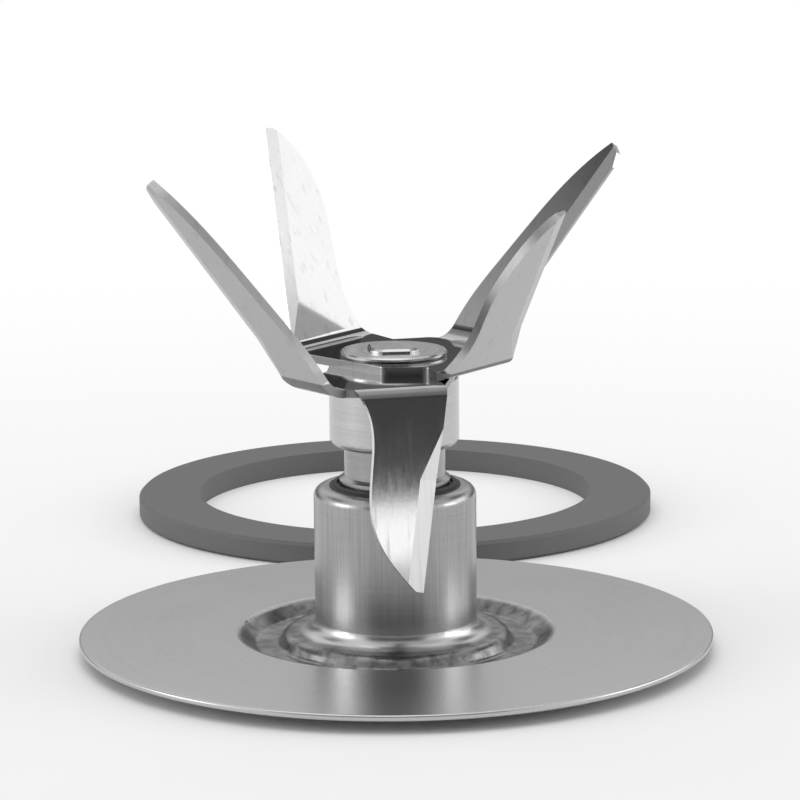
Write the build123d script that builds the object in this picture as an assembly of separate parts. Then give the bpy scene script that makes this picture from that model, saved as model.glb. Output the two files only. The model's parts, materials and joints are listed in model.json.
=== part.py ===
from build123d import *
import os
from dataclasses import dataclass, replace
from math import cos, radians, sin, tan

# All sizes are millimetres. Z = 0 is the surface that the unit stands on, +Z is up along the spindle.

# Pressed base: disc, annular groove and drawn hub in one sheet
sheet = 0.6
disc_radius = 31.5
rim_rounding = 0.2
groove_outer_radius = 15.6
groove_floor_outer = 14.0
groove_floor_inner = 11.7
groove_inner_radius = 11.1
groove_depth = 1.2
groove_floor_fillet = 0.5
hub_radius = 8.05
hub_height = 14.7
hub_corner = 1.0
hub_foot_fillet = 1.35
hub_mouth_radius = 6.5
lip_inside = 0.3

# Bearing carrier pressed into the hub, with its neck above
neck_radius = 5.0
neck_wall = 0.8
neck_length = 4.3
neck_flange_radius = 5.5
neck_flange_height = 0.8
neck_edge = 0.3
hub_seal_rise = 0.35
hub_seal_rib = 0.25

# Spindle and what it turns in
shaft_radius = 2.8
shaft_square = 4.9
square_turn = 6.0
key_clearance = 0.05
shaft_rise = 0.4
running_clearance = 0.05
axial_play = 0.2
bushing_length = 4.2
bushing_edge = 0.3
shaft_seal_length = 1.4
felt_clearance = 0.15
thrust_washer_radius = 5.0
thrust_washer_thickness = 0.8

# Drive socket on the spindle's lower end
socket_radius = 5.6
socket_square = 6.4
socket_depth = 4.8
socket_seat = 3.0
socket_floor_gap = 0.4
socket_edge = 0.4

# Collar under the blades, with a skirt over the neck's top
collar_radius = 6.4
collar_length = 7.3
collar_edge = 0.8
skirt_overlap = 0.5
skirt_clearance = 0.3
slinger_thickness = 0.5

# Blades
blade_sheet = 0.8
top_bend_radius = 1.3
side_bend_radius = 2.5
drop_bend_radius = 0.3
ground_width = 1.7
ground_left = 0.25
ground_inner_depth = 0.08
ground_fade = 5.0
blade_corner = 1.2
cut_reach = 40.0  # cutting shapes run past the end of any wing
top_washer_radius = 5.25
top_washer_thickness = 0.5
washer_edge = 0.15

# Loose sealing ring, lying flat close behind the disc
ring_outer_radius = 30.0
ring_width = 7.0
ring_thickness = 2.6
ring_edge = 0.35
ring_gap = 1.5

# Levels and radii that follow from the sizes above
disc_top = groove_depth + sheet
hub_top = disc_top + hub_height
hub_bore = hub_radius - sheet
carrier_top = hub_top - sheet
carrier_bore = neck_radius - neck_wall
neck_foot = hub_top + hub_seal_rise
neck_top = neck_foot + neck_length
socket_length = socket_depth + socket_seat
socket_top = socket_floor_gap + socket_length
bearing_bottom = socket_top + thrust_washer_thickness + axial_play
felt_bottom = bearing_bottom + bushing_length
upper_bushing_top = neck_top - shaft_seal_length
felt_top = upper_bushing_top - bushing_length
shaft_bore = shaft_radius + running_clearance
collar_bottom = neck_top - skirt_overlap
skirt_radius = neck_radius + skirt_clearance
skirt_depth = skirt_overlap + axial_play + slinger_thickness
collar_top = collar_bottom + collar_length
lower_blade_top = collar_top + blade_sheet
upper_blade_top = lower_blade_top + blade_sheet
top_washer_top = upper_blade_top + top_washer_thickness
ground_outer_depth = blade_sheet - ground_left - ground_inner_depth
shaft_top = top_washer_top + shaft_rise
ring_inner_radius = ring_outer_radius - ring_width


@dataclass
class Wing:
    """One bent wing of a blade, and the way its edges run.

    The fold lies fold_distance from the axis, square to the plan direction azimuth. Points are (along, out):
    along runs counter-clockwise on the fold, out runs up the wing from it. The ground edge is straight from
    ground_root on the fold to ground_tip, and grinding begins ground_start from the fold. The belly curves
    from the last tip point back to the fold."""
    azimuth: float
    fold_distance: float
    bend: float
    bend_radius: float
    ground_root: float
    ground_tip: tuple
    ground_start: float
    tip: list
    belly: list

    def along(self):
        return Vector(-sin(radians(self.azimuth)), cos(radians(self.azimuth)))

    def outward(self):
        return Vector(cos(radians(self.azimuth)), sin(radians(self.azimuth)))

    def skin_radius(self):
        """Bend radius on the blade's upper face: the inside of a bend up, the outside of a bend down."""
        return self.bend_radius if self.bend > 0 else self.bend_radius + blade_sheet

    def bend_run(self):
        """How far the bend reaches into the flat plate from the fold line."""
        return self.skin_radius() * tan(radians(abs(self.bend)) / 2)

    def bend_start(self, along):
        """Plan point where the flat plate ends and the bend begins."""
        point = self.outward() * (self.fold_distance - self.bend_run()) + self.along() * along
        return (point.X, point.Y)

    def ends(self):
        """The fold's two ends in counter-clockwise order."""
        return sorted([self.ground_root, self.belly[-1][0]])


def half_turn(wing):
    """The same wing on the blade's other side."""
    return replace(wing, azimuth=wing.azimuth + 180)


# Wings of the upper blade: the rear one stands steeper and is a little longer than the front one
front_top_wing = Wing(
    azimuth=324.9, fold_distance=9.8, bend=51.5, bend_radius=top_bend_radius,
    ground_root=5.2, ground_tip=(-5.0, 21.0), ground_start=0.5,
    tip=[(-6.2, 20.8)], belly=[(-7.6, 19.0), (-8.4, 15.2), (-7.8, 10.0), (-5.8, 5.0), (-6.1, 0)])
rear_top_wing = Wing(
    azimuth=144.9, fold_distance=9.8, bend=68.5, bend_radius=top_bend_radius,
    ground_root=3.3, ground_tip=(-3.7, 22.6), ground_start=0.5,
    tip=[(-4.8, 22.4)], belly=[(-7.8, 19.2), (-9.0, 15.0), (-8.4, 10.0), (-7.6, 5.6), (-9.0, 0)])

# Wings of the lower blade: one prong of each end is bent up, the other down
left_wing = Wing(
    azimuth=217.7, fold_distance=13.8, bend=58.5, bend_radius=side_bend_radius,
    ground_root=2.3, ground_tip=(-4.3, 20.8), ground_start=0.5,
    tip=[(-4.0, 22.4), (-2.7, 23.4)], belly=[(1.2, 18.8), (5.5, 10.3), (7.9, 4.6), (8.7, 0)])
right_wing = half_turn(left_wing)
front_drop_wing = Wing(
    azimuth=285, fold_distance=14.2, bend=-84, bend_radius=drop_bend_radius,
    ground_root=1.5, ground_tip=(-1.5, 19.5), ground_start=4.0,
    tip=[(-2.3, 19.3)], belly=[(-3.9, 17.4), (-6.1, 13.2), (-6.2, 8.2), (-5.9, 5.0), (-7.4, 0)])
rear_drop_wing = half_turn(front_drop_wing)

# Corners of the lower blade's plate at its waist, on the right
waist_corners = [(5.9, -5.0), (6.5, 4.6)]

# Corners of the upper blade's plate between its two folds
front_corners = [(-8.9, 1.2), (-6.3, -1.6), (-1.0, -7.2), (3.4, -7.2)]
rear_corners = [(8.8, 0.6), (6.2, 4.2), (1.0, 7.3)]


def turned(*profile):
    """Solid of revolution about Z from a closed profile of (radius, height) points."""
    return revolve(Plane.XZ * make_face(Polyline(*profile, close=True)), Axis.Z)


def tube(outer, inner, bottom, top, edge=0):
    """Plain ring with its outer corners chamfered where an edge is given."""
    ring = Pos(0, 0, bottom) * extrude(Circle(outer) - Circle(inner), top - bottom)
    if edge:
        ring = chamfer(outer_rims(ring), edge)
    return ring


def outer_rims(ring):
    """The two widest circular edges of a ring."""
    return ring.edges().filter_by(GeomType.CIRCLE).group_by(SortBy.RADIUS)[-1]


def milled_square(bottom, top, clearance=0):
    """The spindle's milled square: its corners keep the round of the bar."""
    side = shaft_square + 2 * clearance
    section = Rectangle(side, side) & Circle(shaft_radius + clearance)
    return Pos(0, 0, bottom) * Rot(0, 0, square_turn) * extrude(section, top - bottom)


def base_plate():
    """Disc, groove and hub: the upper skin of one sheet, thickened downwards and turned about the axis."""
    lip_fillet = sheet + lip_inside
    skin = FilletPolyline(
        (disc_radius, disc_top),
        (groove_outer_radius, disc_top),
        (groove_floor_outer, disc_top - groove_depth),
        (groove_floor_inner, disc_top - groove_depth),
        (groove_inner_radius, disc_top),
        (hub_radius, disc_top),
        (hub_radius, hub_top),
        (hub_mouth_radius, hub_top),
        radius=[
            lip_fillet, groove_floor_fillet, groove_floor_fillet, lip_fillet, hub_foot_fillet, hub_corner],
    )
    section = make_face(offset(skin, sheet, side=Side.LEFT).edges())
    plate = revolve(Plane.XZ * section, Axis.Z)
    return fillet(outer_rims(plate), rim_rounding)


def bearing_carrier():
    """Turned body that fills the hub, with the neck and its foot flange above the seal."""
    flange_top = neck_foot + neck_flange_height
    return turned(
        (carrier_bore, bearing_bottom),
        (hub_bore, bearing_bottom),
        (hub_bore, carrier_top - hub_corner),
        (hub_bore - hub_corner, carrier_top),
        (neck_radius, carrier_top),
        (neck_radius, neck_foot),
        (neck_flange_radius, neck_foot),
        (neck_flange_radius, flange_top - neck_edge),
        (neck_radius, flange_top),
        (neck_radius, neck_top - neck_edge),
        (neck_radius - neck_edge, neck_top),
        (carrier_bore, neck_top),
    )


def hub_seal():
    """Rubber ring in the hub's mouth round the neck, with raised ribs on its upper face."""
    face_top = neck_foot - hub_seal_rib
    rib_width = (hub_mouth_radius - neck_radius) / 4
    ring = tube(hub_mouth_radius, neck_radius, carrier_top, face_top)
    for inner in (neck_radius, neck_radius + 2 * rib_width):
        ring += tube(inner + rib_width, inner, face_top, neck_foot)
    return ring


def bushing(bottom):
    """Sintered bush with chamfered ends, a running fit on the spindle."""
    return tube(carrier_bore, shaft_bore, bottom, bottom + bushing_length, bushing_edge)


def oil_felt():
    """Oiled felt between the two bushes."""
    return tube(carrier_bore, shaft_bore + felt_clearance, felt_bottom, felt_top)


def shaft_seal():
    """Lip ring at the neck's top: a groove in its upper face leaves a thin inner lip."""
    lip = (carrier_bore - shaft_bore) / 3
    ring = tube(carrier_bore, shaft_bore, upper_bushing_top, neck_top)
    return ring - tube(carrier_bore - lip, shaft_bore + lip, neck_top - shaft_seal_length / 2, neck_top)


def shaft():
    """Round spindle with a milled square for the blades and a chamfered, riveted end."""
    end = milled_square(collar_top, shaft_top)
    end = chamfer(end.faces().sort_by(Axis.Z)[-1].edges(), shaft_rise / 2)
    bottom = socket_top - socket_seat
    return Pos(0, 0, bottom) * extrude(Circle(shaft_radius), collar_top - bottom) + end


def drive_socket():
    """Steel socket: the spindle is pressed in from above, a square drive stud enters from below."""
    body = tube(socket_radius, shaft_radius, socket_floor_gap, socket_top, socket_edge)
    mouth = Pos(0, 0, socket_floor_gap) * Rectangle(socket_square, socket_square)
    wide = socket_square + 2 * socket_edge
    lead_in = loft([Pos(0, 0, socket_floor_gap) * Rectangle(wide, wide), Pos(0, 0, socket_edge) * mouth])
    return body - extrude(mouth, socket_depth) - lead_in


def thrust_washer():
    """Wear ring between the socket and the lower bush."""
    return tube(thrust_washer_radius, shaft_radius, socket_top, socket_top + thrust_washer_thickness)


def slinger_washer():
    """Ring under the collar's roof, just above the neck."""
    roof = collar_bottom + skirt_depth
    return tube(neck_radius - neck_edge, shaft_radius, roof - slinger_thickness, roof)


def blade_collar():
    """Spacer under the blades. Its skirt covers the neck's top end."""
    body = tube(collar_radius, shaft_radius, collar_bottom, collar_top)
    body = fillet(outer_rims(body), collar_edge)
    return body - tube(skirt_radius, shaft_radius, collar_bottom, collar_bottom + skirt_depth)


def bent_strip(wing, top):
    """Endless strip of blade sheet that leaves the plate, turns through the bend and runs up the wing."""
    across = Plane(wing.outward() * wing.fold_distance + Vector(0, 0, top), wing.outward(), -wing.along())
    run = wing.bend_run()
    side = 1 if wing.bend > 0 else -1
    edges = []
    for drop in (0, blade_sheet):
        arc = JernArc((-run, -drop), (1, 0), wing.skin_radius() + side * drop, wing.bend)
        edges.append([arc, Line(arc @ 1, arc @ 1 + (arc % 1) * cut_reach)])
    (upper_arc, upper_line), (lower_arc, lower_line) = edges
    ends = [Line(upper_arc @ 0, lower_arc @ 0), Line(upper_line @ 1, lower_line @ 1)]
    section = make_face([upper_arc, upper_line, lower_arc, lower_line, *ends])
    return extrude(across * section, cut_reach, both=True)


def wing_solid(wing, top):
    """Bent strip trimmed to the wing's outline and ground thin along its straight edge."""
    along = wing.along()
    out = wing.outward() * cos(radians(wing.bend)) + Vector(0, 0, sin(radians(wing.bend)))
    face = Plane(wing.outward() * wing.fold_distance + Vector(0, 0, top), along, along.cross(out))
    root = -wing.bend_run() - 2 * blade_sheet
    belly_root = wing.belly[-1][0]
    outline = [
        Polyline(wing.belly[-1], (belly_root, root), (wing.ground_root, root), (wing.ground_root, 0),
                 wing.ground_tip, *wing.tip),
        Spline(wing.tip[-1], *wing.belly),
    ]
    solid = bent_strip(wing, top) & extrude(face * make_face(outline), cut_reach, both=True)
    solid -= ground_wedge(wing, face, ground_outer_depth, outer=True)
    return solid - ground_wedge(wing, face, ground_inner_depth, outer=False)


def ground_wedge(wing, face, depth, outer):
    """What grinding takes off one face of the wing along its straight edge. It fades out towards the fold."""
    root, tip = Vector(wing.ground_root, 0), Vector(*wing.ground_tip)
    edge = (tip - root).normalized()
    inward = Vector(edge.Y, -edge.X)
    if inward.dot(Vector(*wing.belly[0]) - root) < 0:
        inward = -inward
    away = 1 if face.z_dir.dot(wing.outward()) > 0 else -1
    side = away if outer else -away
    on_skin = outer != (wing.bend > 0)
    level = Vector(0, 0, 0 if on_skin else side * blade_sheet)
    sections = []
    for along, share in ((wing.ground_start, 0), (wing.ground_start + ground_fade, 1), (cut_reach, 1)):
        across = Plane(root + edge * along + level, inward, edge)
        up = side * across.y_dir.Z
        deep = depth * (share + blade_sheet / ground_width)
        sections.append(across * make_face(Polyline(
            (share * ground_width, 0), (-blade_sheet, -up * deep), (-blade_sheet, up * blade_sheet),
            (share * ground_width, up * blade_sheet), close=True)))
    return face * loft(sections, ruled=True)


def blade(top, wings, corners):
    """Flat plate between the wings' bends, with the wings on it and the spindle's square cut through."""
    outline = []
    for wing, edge in zip(wings, corners):
        outline += [wing.bend_start(along) for along in wing.ends()] + edge
    flat = make_face(Polyline(*outline, close=True))
    sharp = [flat.vertices().sort_by_distance(corner)[0] for edge in corners for corner in edge]
    if sharp:
        flat = fillet(sharp, blade_corner)
    plate = Pos(0, 0, top - blade_sheet) * extrude(flat, blade_sheet)
    for wing in wings:
        plate += wing_solid(wing, top)
    return plate - milled_square(top - blade_sheet, top, key_clearance)


def lower_blade():
    """Four wings on one bar: each end is split into a prong bent up and a prong bent down."""
    wings = [front_drop_wing, right_wing, rear_drop_wing, left_wing]
    left_waist = [(-x, -y) for x, y in waist_corners]
    return blade(lower_blade_top, wings, [waist_corners, [], left_waist, []])


def upper_blade():
    """Two tall wings on a short plate."""
    return blade(upper_blade_top, [front_top_wing, rear_top_wing], [rear_corners, front_corners])


def top_washer():
    """Washer under the spindle's riveted end."""
    ring = tube(top_washer_radius, shaft_radius / 2, upper_blade_top, top_washer_top, washer_edge)
    return ring - milled_square(upper_blade_top, top_washer_top, key_clearance)


def sealing_ring():
    """Flat rubber ring, loose on the same surface behind the disc."""
    behind = disc_radius + ring_gap + ring_outer_radius
    return Pos(0, behind, 0) * tube(ring_outer_radius, ring_inner_radius, 0, ring_thickness, ring_edge)


pieces = {
    "base_plate": base_plate(),
    "bearing_carrier": bearing_carrier(),
    "hub_seal": hub_seal(),
    "lower_bushing": bushing(bearing_bottom),
    "oil_felt": oil_felt(),
    "upper_bushing": bushing(felt_top),
    "shaft_seal": shaft_seal(),
    "shaft": shaft(),
    "drive_socket": drive_socket(),
    "thrust_washer": thrust_washer(),
    "slinger_washer": slinger_washer(),
    "blade_collar": blade_collar(),
    "lower_blade": lower_blade(),
    "upper_blade": upper_blade(),
    "top_washer": top_washer(),
    "sealing_ring": sealing_ring(),
}

os.makedirs("parts", exist_ok=True)
for node, solid in pieces.items():
    export_step(solid, f"parts/{node}.step")
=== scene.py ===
import json
from math import atan2, cos, degrees, pi, radians, sin

import bpy
from mathutils import Euler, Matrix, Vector


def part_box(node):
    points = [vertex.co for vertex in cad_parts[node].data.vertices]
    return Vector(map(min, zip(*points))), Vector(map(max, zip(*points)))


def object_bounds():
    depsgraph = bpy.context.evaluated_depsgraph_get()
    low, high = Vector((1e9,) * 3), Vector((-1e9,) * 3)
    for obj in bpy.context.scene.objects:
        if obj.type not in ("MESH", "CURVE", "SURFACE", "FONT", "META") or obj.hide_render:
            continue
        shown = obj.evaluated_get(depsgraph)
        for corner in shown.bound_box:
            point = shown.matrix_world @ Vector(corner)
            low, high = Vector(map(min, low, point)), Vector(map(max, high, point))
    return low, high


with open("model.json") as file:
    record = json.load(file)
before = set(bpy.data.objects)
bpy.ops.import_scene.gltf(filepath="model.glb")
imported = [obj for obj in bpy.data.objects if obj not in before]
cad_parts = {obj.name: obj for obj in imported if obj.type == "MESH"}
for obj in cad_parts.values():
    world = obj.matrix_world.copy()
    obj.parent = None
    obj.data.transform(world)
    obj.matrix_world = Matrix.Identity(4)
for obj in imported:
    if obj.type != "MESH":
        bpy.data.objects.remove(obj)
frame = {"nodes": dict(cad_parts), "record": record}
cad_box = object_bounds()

bl_info = {
    "name": "Blade Unit Finishes",
    "version": (1, 0, 0),
    "blender": (4, 5, 0),
    "location": "3D View > Sidebar > Blade Unit",
    "description": "Gives a blender's blade unit its steel, rubber and bearing finishes and a small studio",
    "category": "Material",
}

bare_colour = {m["slot"]: tuple(m["base_color"]) for m in frame["record"]["materials"]}
mount_place = {m["name"]: m["pos_m"] for m in frame["record"]["mounts"]}

# Levels and radii on the unit, in metres. A pair is where a finish, painted shade or painted highlight starts
# and where it has taken over.
disc_level = mount_place["ring_seat"][2]
collar_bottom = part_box("blade_collar")[0].z
plates_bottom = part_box("blade_collar")[1].z
plates_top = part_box("top_washer")[0].z
hub_foot = (disc_level + 0.0012, disc_level + 0.0028)
hub_radius = 0.008
recess_inside = (0.0088, 0.0098)
recess_outside = (0.0150, 0.0162)
collar_foot = (collar_bottom - 0.0002, collar_bottom + 0.0004)
wings_above = (plates_top + 0.0008, plates_top + 0.0016)
wings_below = (plates_bottom - 0.0008, plates_bottom - 0.0016)
plates_lower = (plates_bottom, plates_bottom + 0.0001)
plates_upper = (plates_top - 0.0001, plates_top)

# Squared cosines from which a face counts as one of a wing's flat sides, or as level.
flat_side = 0.9985
level_side = 0.7

# Cosine from which two directions count as the same.
same_way = 0.99

# The studio, in metres, apart from the camera's sensor, which is in millimetres.
floor_radius = 6.0
floor_fade = (0.04, 0.26)
card_radius = 0.8
past_cards = (2.0, 3.0)
unit_middle = (0, 0, 0.02)
sensor_width = 36.0


class SteelSettings(bpy.types.PropertyGroup):
    """Finish of the pressed disc, the turned pieces and the blades."""
    disc_colour: bpy.props.FloatVectorProperty(
        name="Disc Colour", description="Bare colour of the pressed disc and its hub", subtype="COLOR",
        min=0, max=1, default=bare_colour["disc_steel"])
    turned_colour: bpy.props.FloatVectorProperty(
        name="Turned Colour", description="Bare colour of the neck, collar, spindle, socket and washer",
        subtype="COLOR", min=0, max=1, default=bare_colour["turned_steel"])
    blade_colour: bpy.props.FloatVectorProperty(
        name="Blade Colour", description="Bare colour of the two blades", subtype="COLOR",
        min=0, max=1, default=bare_colour["blade_steel"])
    grain_size: bpy.props.FloatProperty(
        name="Grain Size", description="Size of the grain on the disc's rolled sheet", unit="LENGTH",
        min=0.00005, default=0.0003)
    line_width: bpy.props.FloatProperty(
        name="Line Width", description="Width of the fine lines that drawing and turning leave",
        unit="LENGTH", min=0.00005, default=0.00014)


class RubberSettings(bpy.types.PropertyGroup):
    """Finish of the sealing ring and the two seals."""
    ring_colour: bpy.props.FloatVectorProperty(
        name="Ring Colour", description="Colour of the loose sealing ring", subtype="COLOR",
        min=0, max=1, default=bare_colour["ring_rubber"])
    seal_colour: bpy.props.FloatVectorProperty(
        name="Seal Colour", description="Colour of the seals in the hub's mouth and the neck",
        subtype="COLOR", min=0, max=1, default=bare_colour["seal_rubber"])
    speckle_size: bpy.props.FloatProperty(
        name="Speckle Size", description="Size of the moulded surface's fine speckle", unit="LENGTH",
        min=0.00005, default=0.00025)


class BearingSettings(bpy.types.PropertyGroup):
    """Colours of what the spindle turns in."""
    bronze_colour: bpy.props.FloatVectorProperty(
        name="Bronze Colour", description="Colour of the two sintered bushes", subtype="COLOR",
        min=0, max=1, default=bare_colour["bush_bronze"])
    felt_colour: bpy.props.FloatVectorProperty(
        name="Felt Colour", description="Colour of the oiled felt between the bushes", subtype="COLOR",
        min=0, max=1, default=bare_colour["felt"])
    washer_colour: bpy.props.FloatVectorProperty(
        name="Washer Colour", description="Colour of the two wear washers", subtype="COLOR",
        min=0, max=1, default=bare_colour["washer_plastic"])


class StudioSettings(bpy.types.PropertyGroup):
    """Floor, room light, cards and camera."""
    floor_colour: bpy.props.FloatVectorProperty(
        name="Floor Colour", description="Colour of the pale floor", subtype="COLOR",
        min=0, max=1, default=(0.9, 0.9, 0.9))
    room_light: bpy.props.FloatProperty(
        name="Room Light", description="Strength of the even light from all round", min=0, default=1.05)
    card_grey: bpy.props.FloatProperty(
        name="Card Grey", description="Grey of the dark cards that the steel reflects", subtype="FACTOR",
        min=0, max=1, default=0.1)
    pale_grey: bpy.props.FloatProperty(
        name="Pale Card Grey", description="Grey of the pale card above the camera", subtype="FACTOR",
        min=0, max=1, default=0.6)
    elevation: bpy.props.FloatProperty(
        name="Elevation", description="Height of the camera above the disc's plane", subtype="ANGLE",
        default=radians(14.5))
    distance: bpy.props.FloatProperty(
        name="Distance", description="Camera to the middle of the disc", unit="LENGTH", default=0.343)
    aim_down: bpy.props.FloatProperty(
        name="Aim Down", description="How far the camera looks down", subtype="ANGLE", default=radians(10.69))
    aim_side: bpy.props.FloatProperty(
        name="Aim Side", description="How far the camera looks aside", subtype="ANGLE", default=radians(-0.1))
    roll: bpy.props.FloatProperty(
        name="Roll", description="How far the camera leans", subtype="ANGLE", default=radians(-0.5))
    lens: bpy.props.FloatProperty(
        name="Lens", description="Focal length on a 36 mm sensor", unit="CAMERA", min=1, default=154.5)


class Shade:
    """A socket among a material's nodes. Sums and products of such sockets add Math nodes."""

    def __init__(self, tree, socket=None):
        self.tree = tree
        self.socket = socket

    def node(self, kind, settings=None, sockets=None, output=0):
        """Adds a node, sets it up, fills or links its sockets and gives one of its outputs."""
        made = self.tree.nodes.new(kind)
        for name, value in (settings or {}).items():
            setattr(made, name, value)
        for name, value in (sockets or {}).items():
            if isinstance(value, Shade):
                self.tree.links.new(value.socket, made.inputs[name])
            else:
                made.inputs[name].default_value = value
        return Shade(self.tree, made.outputs[output] if made.outputs else None)

    def beside(self, output):
        """Another output of the same node."""
        return Shade(self.tree, self.socket.node.outputs[output])

    def math(self, operation, first, second):
        return self.node("ShaderNodeMath", {"operation": operation}, {0: first, 1: second})

    def __add__(self, other):
        return self.math("ADD", self, other)

    def __radd__(self, other):
        return self.math("ADD", other, self)

    def __sub__(self, other):
        return self.math("SUBTRACT", self, other)

    def __rsub__(self, other):
        return self.math("SUBTRACT", other, self)

    def __mul__(self, other):
        return self.math("MULTIPLY", self, other)

    def __rmul__(self, other):
        return self.math("MULTIPLY", other, self)

    def __truediv__(self, other):
        return self.math("DIVIDE", self, other)

    def __rtruediv__(self, other):
        return self.math("DIVIDE", other, self)

    def __pow__(self, other):
        return self.math("POWER", self, other)

    def __rpow__(self, other):
        return self.math("POWER", other, self)


def empty_material(name):
    """A material with no nodes yet."""
    material = bpy.data.materials.new(name)
    material.use_nodes = True
    material.node_tree.nodes.clear()
    return material


def begin_material(name, nodes):
    """An empty material on the named CAD pieces; gives the start of its nodes."""
    material = empty_material(name)
    for node in nodes:
        piece = frame["nodes"][node]
        piece.data.materials.clear()
        piece.data.materials.append(material)
    return Shade(material.node_tree)


def end_material(start, sockets):
    """The shader and the output of a material."""
    surface = start.node("ShaderNodeBsdfPrincipled", sockets=sockets)
    start.node("ShaderNodeOutputMaterial", sockets={"Surface": surface})


def place(start):
    """Object coordinates, whole and as x, y and z."""
    whole = start.node("ShaderNodeTexCoord", output="Object")
    x = start.node("ShaderNodeSeparateXYZ", sockets={"Vector": whole})
    return whole, x, x.beside("Y"), x.beside("Z")


def from_axis(x, y):
    """Distance from the spindle's axis."""
    return (x * x + y * y) ** 0.5


def vector(start, x, y, z):
    return start.node("ShaderNodeCombineXYZ", sockets={"X": x, "Y": y, "Z": z})


def noise(start, where, scale, detail=2.0, roughness=0.5):
    return start.node(
        "ShaderNodeTexNoise",
        sockets={"Vector": where, "Scale": scale, "Detail": detail, "Roughness": roughness})


def between(start, value, low, high):
    """0 at low, 1 at high and smooth between them, whichever of the two is the larger."""
    return start.node(
        "ShaderNodeMapRange", {"interpolation_type": "SMOOTHSTEP"},
        {"Value": value, "From Min": low, "From Max": high})


def tinted(start, colour, factor):
    """A colour made lighter or darker by a factor that varies."""
    return start.node(
        "ShaderNodeVectorMath", {"operation": "SCALE"}, {0: tuple(colour), "Scale": factor})


def flat_directions(nodes, low, high, count):
    """The directions that the pieces' largest flat sides between two levels face, largest first."""
    sums = {}
    for node in nodes:
        for face in frame["nodes"][node].data.polygons:
            if low < face.center.z < high:
                way = tuple(round(part, 2) for part in face.normal)
                sums[way] = sums.get(way, Vector()) + face.normal * face.area
    found = []
    for total in sorted(sums.values(), key=lambda total: total.length, reverse=True):
        way = total.normalized()
        if all(abs(way.dot(other)) < same_way for other in found):
            found.append(way)
    return found[:count]


def facing(start, directions, least):
    """1 where a face looks along one of the directions or away from it, 0 where it turns from them all.

    The change starts at a squared cosine of least and is over halfway from there to 1.
    """
    normal = start.node("ShaderNodeTexCoord", output="Normal")
    nearest = 0.0
    for direction in directions:
        along = start.node(
            "ShaderNodeVectorMath", {"operation": "DOT_PRODUCT"}, {0: normal, 1: direction}, "Value")
        nearest = start.math("MAXIMUM", along * along, nearest)
    return between(start, nearest, least, 0.5 + least / 2)


def bump(start, height, strength, distance):
    return start.node(
        "ShaderNodeBump", sockets={"Height": height, "Strength": strength, "Distance": distance})


def glow(start, grey):
    """Even light of strength 1."""
    return start.node("ShaderNodeEmission", sockets={"Color": (grey, grey, grey, 1), "Strength": 1.0})


def background_ray(start):
    """1 for what the camera sees, straight, in a reflection or through a piece, and 0 for what lights."""
    camera_ray = start.node("ShaderNodeLightPath", output="Is Camera Ray")
    return camera_ray + camera_ray.beside("Is Glossy Ray") + camera_ray.beside("Is Transmission Ray")


class BLADE_UNIT_OT_disc(bpy.types.Operator):
    """Satin pressed sheet: fine grain on the disc, painted mottled shade in the recess, drawn lines down the
    hub, which is painted darker as painted shade
    """
    bl_idname = "blade_unit.disc"
    bl_label = "Finish Disc"

    def execute(self, context):
        steel = context.scene.blade_unit_steel
        start = begin_material("disc_steel", ["base_plate"])
        whole, x, y, z = place(start)
        radius = from_axis(x, y)
        hub = between(start, z, *hub_foot)
        recess = between(start, radius, *recess_inside) * (1 - between(start, radius, *recess_outside))
        grain = noise(start, whole, scale=1 / steel.grain_size, detail=3.0)
        smudge = noise(start, whole, scale=120.0, detail=3.0)
        rings = noise(start, vector(start, radius / steel.line_width, z / steel.line_width, 0.0), scale=0.5)
        across, along = hub_radius / steel.line_width, 110.0
        round_hub = vector(start, x / radius * across, y / radius * across, z * along)
        drawn = noise(start, round_hub, scale=1.0, detail=3.0)
        texture = grain * 0.6 + rings * 0.4
        marks = texture * (1 - hub) + (drawn + rings) * 0.5 * hub
        blotches = noise(start, whole, scale=700.0, detail=4.0, roughness=0.6)
        mottle = between(start, blotches, low=0.35, high=0.7)
        # Painted shade: the hub is painted about a third darker, standing in for the darker surroundings that
        # it reflects.
        shade = (0.83 + marks * 0.2 + smudge * 0.04) * (1 - hub * 0.32)
        # Painted shade: the recess round the hub is painted darker, made uneven by the mottle noise.
        shade *= 1 - recess * (0.5 + mottle * 0.3)
        shade *= 1 + (drawn - 0.5) * hub * 0.5
        end_material(start, {
            "Base Color": tinted(start, steel.disc_colour, shade),
            "Metallic": 1.0,
            "Roughness": 0.22 + marks * 0.1 + smudge * 0.04,
            "Normal": bump(start, marks * (0.3 + hub), strength=0.4, distance=0.00003),
        })
        return {"FINISHED"}


class BLADE_UNIT_OT_turned(bpy.types.Operator):
    """Turned steel: fine rings round the neck, collar, spindle, socket and washer"""
    bl_idname = "blade_unit.turned"
    bl_label = "Finish Turned Pieces"

    def execute(self, context):
        steel = context.scene.blade_unit_steel
        start = begin_material(
            "turned_steel", ["bearing_carrier", "blade_collar", "shaft", "drive_socket", "top_washer"])
        whole, x, y, z = place(start)
        drift = 60.0
        round_axis = vector(start, from_axis(x, y) / steel.line_width, z / steel.line_width, x * drift)
        rings = noise(start, round_axis, scale=0.6, detail=3.0)
        smudge = noise(start, whole, scale=300.0, detail=3.0)
        # Painted shade: everything below the collar's foot is painted about a third darker, as shade under
        # the collar.
        below = 1 - between(start, z, *collar_foot)
        shade = (0.84 + rings * 0.24 + smudge * 0.08) * (1 - below * 0.35)
        end_material(start, {
            "Base Color": tinted(start, steel.turned_colour, shade),
            "Metallic": 1.0,
            "Roughness": 0.16 + rings * 0.12 + smudge * 0.08,
            "Normal": bump(start, rings, strength=0.15, distance=0.00003),
        })
        return {"FINISHED"}


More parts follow.
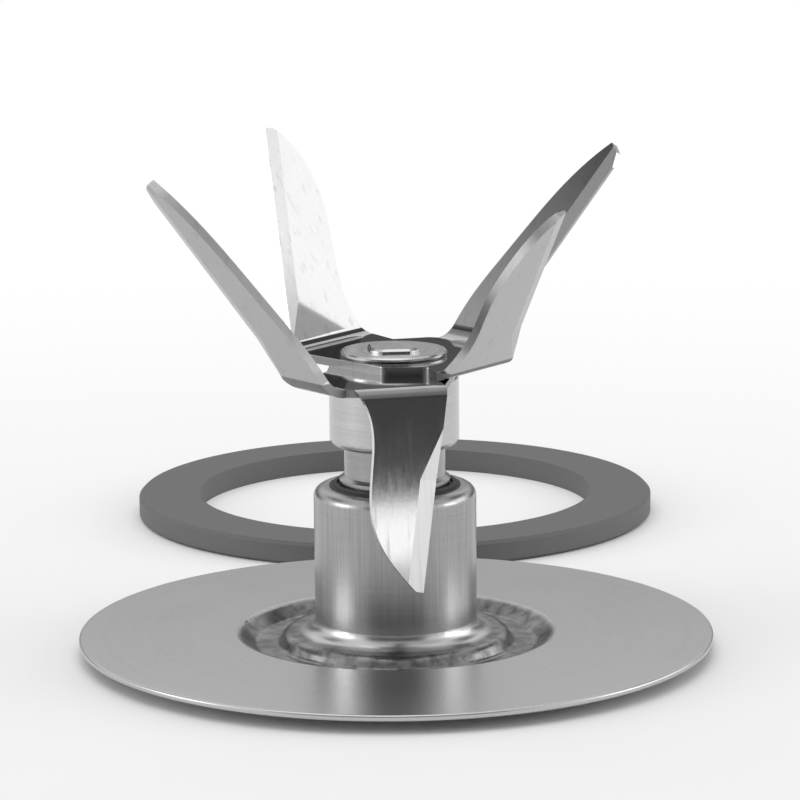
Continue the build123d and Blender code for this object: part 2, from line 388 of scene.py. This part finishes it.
class BLADE_UNIT_OT_blades(bpy.types.Operator):
    """Bright rolled blade sheet with fine lines up the wings, duller bends and edges and satin bevels,
    painted shade on the plates' edges and painted highlights on the wings' edges, bends and bevels
    """
    bl_idname = "blade_unit.blades"
    bl_label = "Finish Blades"

    def execute(self, context):
        steel = context.scene.blade_unit_steel
        blades = ["lower_blade", "upper_blade"]
        start = begin_material("blade_steel", blades)
        whole, x, y, z = place(start)
        across, along = 1 / steel.line_width, 260.0
        lines = noise(start, vector(start, x * across, y * across, z * along), scale=0.8, detail=3.0)
        frost = noise(start, whole, scale=2600.0, detail=3.0)
        smudge = noise(start, whole, scale=140.0, detail=3.0)
        across, along = 1400.0, 50.0
        long_lines = noise(start, vector(start, x * across, y * across, z * along), scale=1.0, detail=4.0)
        streaks = between(start, long_lines, low=0.54, high=0.74)
        high_sides = flat_directions(blades, wings_above[0], cad_box[1].z, count=4)
        low_sides = flat_directions(blades, cad_box[0].z, wings_below[0], count=2)
        # Painted highlights: the wings' edges, bends and bevels are painted lighter below, the low ones most,
        # streaked by the fine lines.
        high_edges = (1 - facing(start, high_sides, flat_side)) * between(start, z, *wings_above)
        low_edges = (1 - facing(start, low_sides, flat_side)) * between(start, z, *wings_below)
        # Painted shade: the plates' edges and side faces are painted half as dark below.
        in_plates = between(start, z, *plates_lower) * (1 - between(start, z, *plates_upper))
        plate_edges = (1 - facing(start, [Vector((0, 0, 1))], level_side)) * in_plates
        shade = (0.75 + lines * 0.12 + smudge * 0.06) * (1 - streaks * 0.14)
        # Colour: painted shade on the plates' edges, painted highlights on the wings' edges, bends and
        # bevels.
        shade *= 1 - plate_edges * 0.5 + high_edges * (0.3 - lines * 0.4) + low_edges * (0.9 - lines * 0.3)
        roughness = 0.03 + (lines + frost + smudge) * 0.02 + streaks * 0.03
        roughness += plate_edges * 0.3 + (high_edges + low_edges) * 0.26
        end_material(start, {
            "Base Color": tinted(start, steel.blade_colour, shade),
            "Metallic": 1.0,
            "Roughness": roughness,
            "Normal": bump(start, lines + frost * 0.5, strength=0.025, distance=0.00002),
        })
        return {"FINISHED"}


class BLADE_UNIT_OT_bearing(bpy.types.Operator):
    """Oiled bronze bushes, the felt between them and the wear washers"""
    bl_idname = "blade_unit.bearing"
    bl_label = "Finish Bearing"

    def execute(self, context):
        bearing = context.scene.blade_unit_bearing
        start = begin_material("bush_bronze", ["lower_bushing", "upper_bushing"])
        whole, *_ = place(start)
        pores = noise(start, whole, scale=5000.0, detail=3.0)
        end_material(start, {
            "Base Color": tinted(start, bearing.bronze_colour, 0.8 + pores * 0.4),
            "Metallic": 1.0,
            "Roughness": 0.3 + pores * 0.3,
            "Normal": bump(start, pores, strength=0.3, distance=0.00004),
        })
        start = begin_material("felt", ["oil_felt"])
        whole, *_ = place(start)
        fibres = noise(start, whole, scale=3500.0, detail=5.0, roughness=0.7)
        end_material(start, {
            "Base Color": tinted(start, bearing.felt_colour, 0.7 + fibres * 0.6),
            "Roughness": 0.95,
            "Normal": bump(start, fibres, strength=0.6, distance=0.0001),
        })
        start = begin_material("washer_plastic", ["thrust_washer", "slinger_washer"])
        whole, *_ = place(start)
        mottle = noise(start, whole, scale=1200.0, detail=3.0)
        end_material(start, {
            "Base Color": tinted(start, bearing.washer_colour, 0.92 + mottle * 0.14),
            "Roughness": 0.4 + mottle * 0.2,
            "Normal": bump(start, mottle, strength=0.1, distance=0.00003),
        })
        return {"FINISHED"}


class BLADE_UNIT_OT_rubber(bpy.types.Operator):
    """Matte moulded rubber of the sealing ring and the two seals"""
    bl_idname = "blade_unit.rubber"
    bl_label = "Finish Rubber"

    def execute(self, context):
        rubber = context.scene.blade_unit_rubber
        finishes = {
            "ring_rubber": (rubber.ring_colour, ["sealing_ring"]),
            "seal_rubber": (rubber.seal_colour, ["hub_seal", "shaft_seal"]),
        }
        for name, (colour, nodes) in finishes.items():
            start = begin_material(name, nodes)
            whole, *_ = place(start)
            speckle = noise(start, whole, scale=1 / rubber.speckle_size, detail=3.0)
            bloom = noise(start, whole, scale=90.0, detail=4.0)
            end_material(start, {
                "Base Color": tinted(start, colour, 0.82 + speckle * 0.2 + bloom * 0.16),
                "Roughness": 0.5 + speckle * 0.15 + bloom * 0.1,
                "Normal": bump(start, speckle, strength=0.25, distance=0.00004),
            })
        return {"FINISHED"}


def card_material(name, grey, fade=past_cards):
    """Even grey that fades to white from one height to another."""
    material = empty_material(name)
    start = Shade(material.node_tree)
    *_, z = place(start)
    surface = start.node(
        "ShaderNodeMixShader", sockets={0: between(start, z, *fade), 1: glow(start, grey), 2: glow(start, 1)})
    start.node("ShaderNodeOutputMaterial", sockets={"Surface": surface})
    return material


def add_card(name, middle, half_width, low, high, material):
    """A curved upright card round the unit, out of the camera's sight, for the steel to reflect.

    Its middle and half its width are angles in degrees, from the camera's side and positive to the right.
    """
    bpy.ops.object.select_all(action="DESELECT")
    bpy.ops.mesh.primitive_cylinder_add(
        vertices=144, radius=card_radius, depth=high - low, end_fill_type="NOTHING",
        location=(0, 0, (low + high) / 2))
    bpy.ops.object.transform_apply(location=True, rotation=False, scale=False)
    card = bpy.context.object
    card.name = name
    bpy.ops.object.mode_set(mode="EDIT")
    bpy.ops.mesh.select_mode(type="FACE")
    bpy.ops.mesh.select_all(action="DESELECT")
    bpy.ops.object.mode_set(mode="OBJECT")
    for face in card.data.polygons:
        away = degrees(atan2(face.center.x, -face.center.y)) - middle
        face.select = abs((away + 180) % 360 - 180) > half_width
    bpy.ops.object.mode_set(mode="EDIT")
    bpy.ops.mesh.delete(type="FACE")
    bpy.ops.object.mode_set(mode="OBJECT")
    if not card.data.polygons:
        raise RuntimeError(f"{name} has no faces left")
    card.data.materials.append(material)
    card.visible_camera = False


def add_lamp(name, spot, aim, size, power):
    """A soft lamp, width by height, that points from its spot at another."""
    bpy.ops.object.select_all(action="DESELECT")
    bpy.ops.object.light_add(type="AREA", location=spot)
    lamp = bpy.context.object
    lamp.name = name
    lamp.rotation_euler = (Vector(aim) - Vector(spot)).to_track_quat("-Z", "Y").to_euler()
    lamp.data.shape = "RECTANGLE"
    lamp.data.size, lamp.data.size_y = size
    lamp.data.energy = power
    lamp.visible_camera = False


class BLADE_UNIT_OT_studio(bpy.types.Operator):
    """Pale floor, reflecting cards, soft lamps, white surround and the camera"""
    bl_idname = "blade_unit.studio"
    bl_label = "Build Studio"

    def floor(self, studio):
        bpy.ops.object.select_all(action="DESELECT")
        bpy.ops.mesh.primitive_circle_add(
            vertices=96, radius=floor_radius, fill_type="NGON", location=(0, 0, 0))
        floor = bpy.context.object
        floor.name = "floor"
        material = empty_material("floor")
        floor.data.materials.append(material)
        start = Shade(material.node_tree)
        _, x, y, _ = place(start)
        far = between(start, from_axis(x, y), *floor_fade)
        matte = start.node("ShaderNodeBsdfDiffuse", sockets={"Color": (*studio.floor_colour, 1)})
        surface = start.node(
            "ShaderNodeMixShader", sockets={0: background_ray(start) * far, 1: matte, 2: glow(start, 1)})
        start.node("ShaderNodeOutputMaterial", sockets={"Surface": surface})

    def surround(self, context, studio):
        world = bpy.data.worlds.new("surround")
        world.use_nodes = True
        world.node_tree.nodes.clear()
        context.scene.world = world
        start = Shade(world.node_tree)
        room, white = (
            start.node("ShaderNodeBackground", sockets={"Color": (1, 1, 1, 1), "Strength": strength})
            for strength in (studio.room_light, 1.0))
        surface = start.node("ShaderNodeMixShader", sockets={0: background_ray(start), 1: room, 2: white})
        start.node("ShaderNodeOutputWorld", sockets={"Surface": surface})

    def cards(self, studio):
        dark = card_material("dark_card", studio.card_grey)
        pale = card_material("pale_card", studio.pale_grey)
        pale_above = card_material("pale_above_card", studio.card_grey, fade=(0.17, 0.26))
        pale_below = card_material("pale_below_card", studio.card_grey, fade=(0.6, 0.38))
        add_card("front_card", middle=0.0, half_width=42.0, low=0.0075, high=0.5, material=dark)
        add_card("high_card", middle=20.0, half_width=60.0, low=0.5, high=1.7, material=pale)
        add_card("back_card", middle=180.0, half_width=55.0, low=0.01, high=0.26, material=pale_above)
        add_card("left_card", middle=-115.0, half_width=20.0, low=0.16, high=0.8, material=pale_below)
        add_card("right_card", middle=128.0, half_width=22.0, low=0.45, high=0.85, material=dark)

    def lamps(self):
        add_lamp("top_lamp", spot=(-0.05, -0.05, 0.9), aim=unit_middle, size=(0.6, 0.6), power=0.9)
        add_lamp("left_lamp", spot=(-0.738, -0.13, 0.16), aim=unit_middle, size=(0.34, 0.26), power=1.2)
        add_lamp("right_lamp", spot=(0.747, -0.065, 0.16), aim=unit_middle, size=(0.26, 0.26), power=0.8)
        add_lamp("wing_lamp", spot=(0.7, 0.28, 0.26), aim=unit_middle, size=(0.36, 0.36), power=0.48)
        add_lamp("low_lamp", spot=(0.6, -1.1, 0.002), aim=(0.6, -1.1, 1), size=(1.0, 1.6), power=7.0)

    def camera(self, context, studio):
        target = Vector((0, 0, disc_level))
        spot = target + studio.distance * Vector((0, -cos(studio.elevation), sin(studio.elevation)))
        bpy.ops.object.camera_add(location=spot)
        camera = context.object
        camera.name = "camera"
        aim = Euler((0, 0, studio.aim_side)).to_matrix() @ Euler((pi / 2 - studio.aim_down, 0, 0)).to_matrix()
        camera.rotation_euler = (aim @ Euler((0, 0, studio.roll)).to_matrix()).to_euler()
        camera.data.lens = studio.lens
        camera.data.sensor_width = sensor_width
        camera.data.clip_start = 0.01
        context.scene.camera = camera

    def execute(self, context):
        studio = context.scene.blade_unit_studio
        self.floor(studio)
        self.surround(context, studio)
        self.cards(studio)
        self.lamps()
        self.camera(context, studio)
        context.scene.view_settings.view_transform = "Standard"
        return {"FINISHED"}


class BLADE_UNIT_PT_finishes(bpy.types.Panel):
    """Finishes and studio of the blade unit"""
    bl_idname = "BLADE_UNIT_PT_finishes"
    bl_label = "Blade Unit"
    bl_space_type = "VIEW_3D"
    bl_region_type = "UI"
    bl_category = "Blade Unit"

    def draw(self, context):
        for operator in operators:
            self.layout.operator(operator.bl_idname)
        for name in settings:
            group = getattr(context.scene, name)
            for key in group.__annotations__:
                self.layout.prop(group, key)


settings = {
    "blade_unit_steel": SteelSettings,
    "blade_unit_rubber": RubberSettings,
    "blade_unit_bearing": BearingSettings,
    "blade_unit_studio": StudioSettings,
}
operators = (
    BLADE_UNIT_OT_disc,
    BLADE_UNIT_OT_turned,
    BLADE_UNIT_OT_blades,
    BLADE_UNIT_OT_bearing,
    BLADE_UNIT_OT_rubber,
    BLADE_UNIT_OT_studio,
)


def register():
    for name, group in settings.items():
        bpy.utils.register_class(group)
        setattr(bpy.types.Scene, name, bpy.props.PointerProperty(type=group))
    for shown in (*operators, BLADE_UNIT_PT_finishes):
        bpy.utils.register_class(shown)


def unregister():
    for shown in (BLADE_UNIT_PT_finishes, *reversed(operators)):
        bpy.utils.unregister_class(shown)
    for name, group in settings.items():
        delattr(bpy.types.Scene, name)
        bpy.utils.unregister_class(group)


def main():
    register()
    bpy.ops.blade_unit.disc()
    bpy.ops.blade_unit.turned()
    bpy.ops.blade_unit.blades()
    bpy.ops.blade_unit.bearing()
    bpy.ops.blade_unit.rubber()
    bpy.ops.blade_unit.studio()


if __name__ == "__main__":
    main()
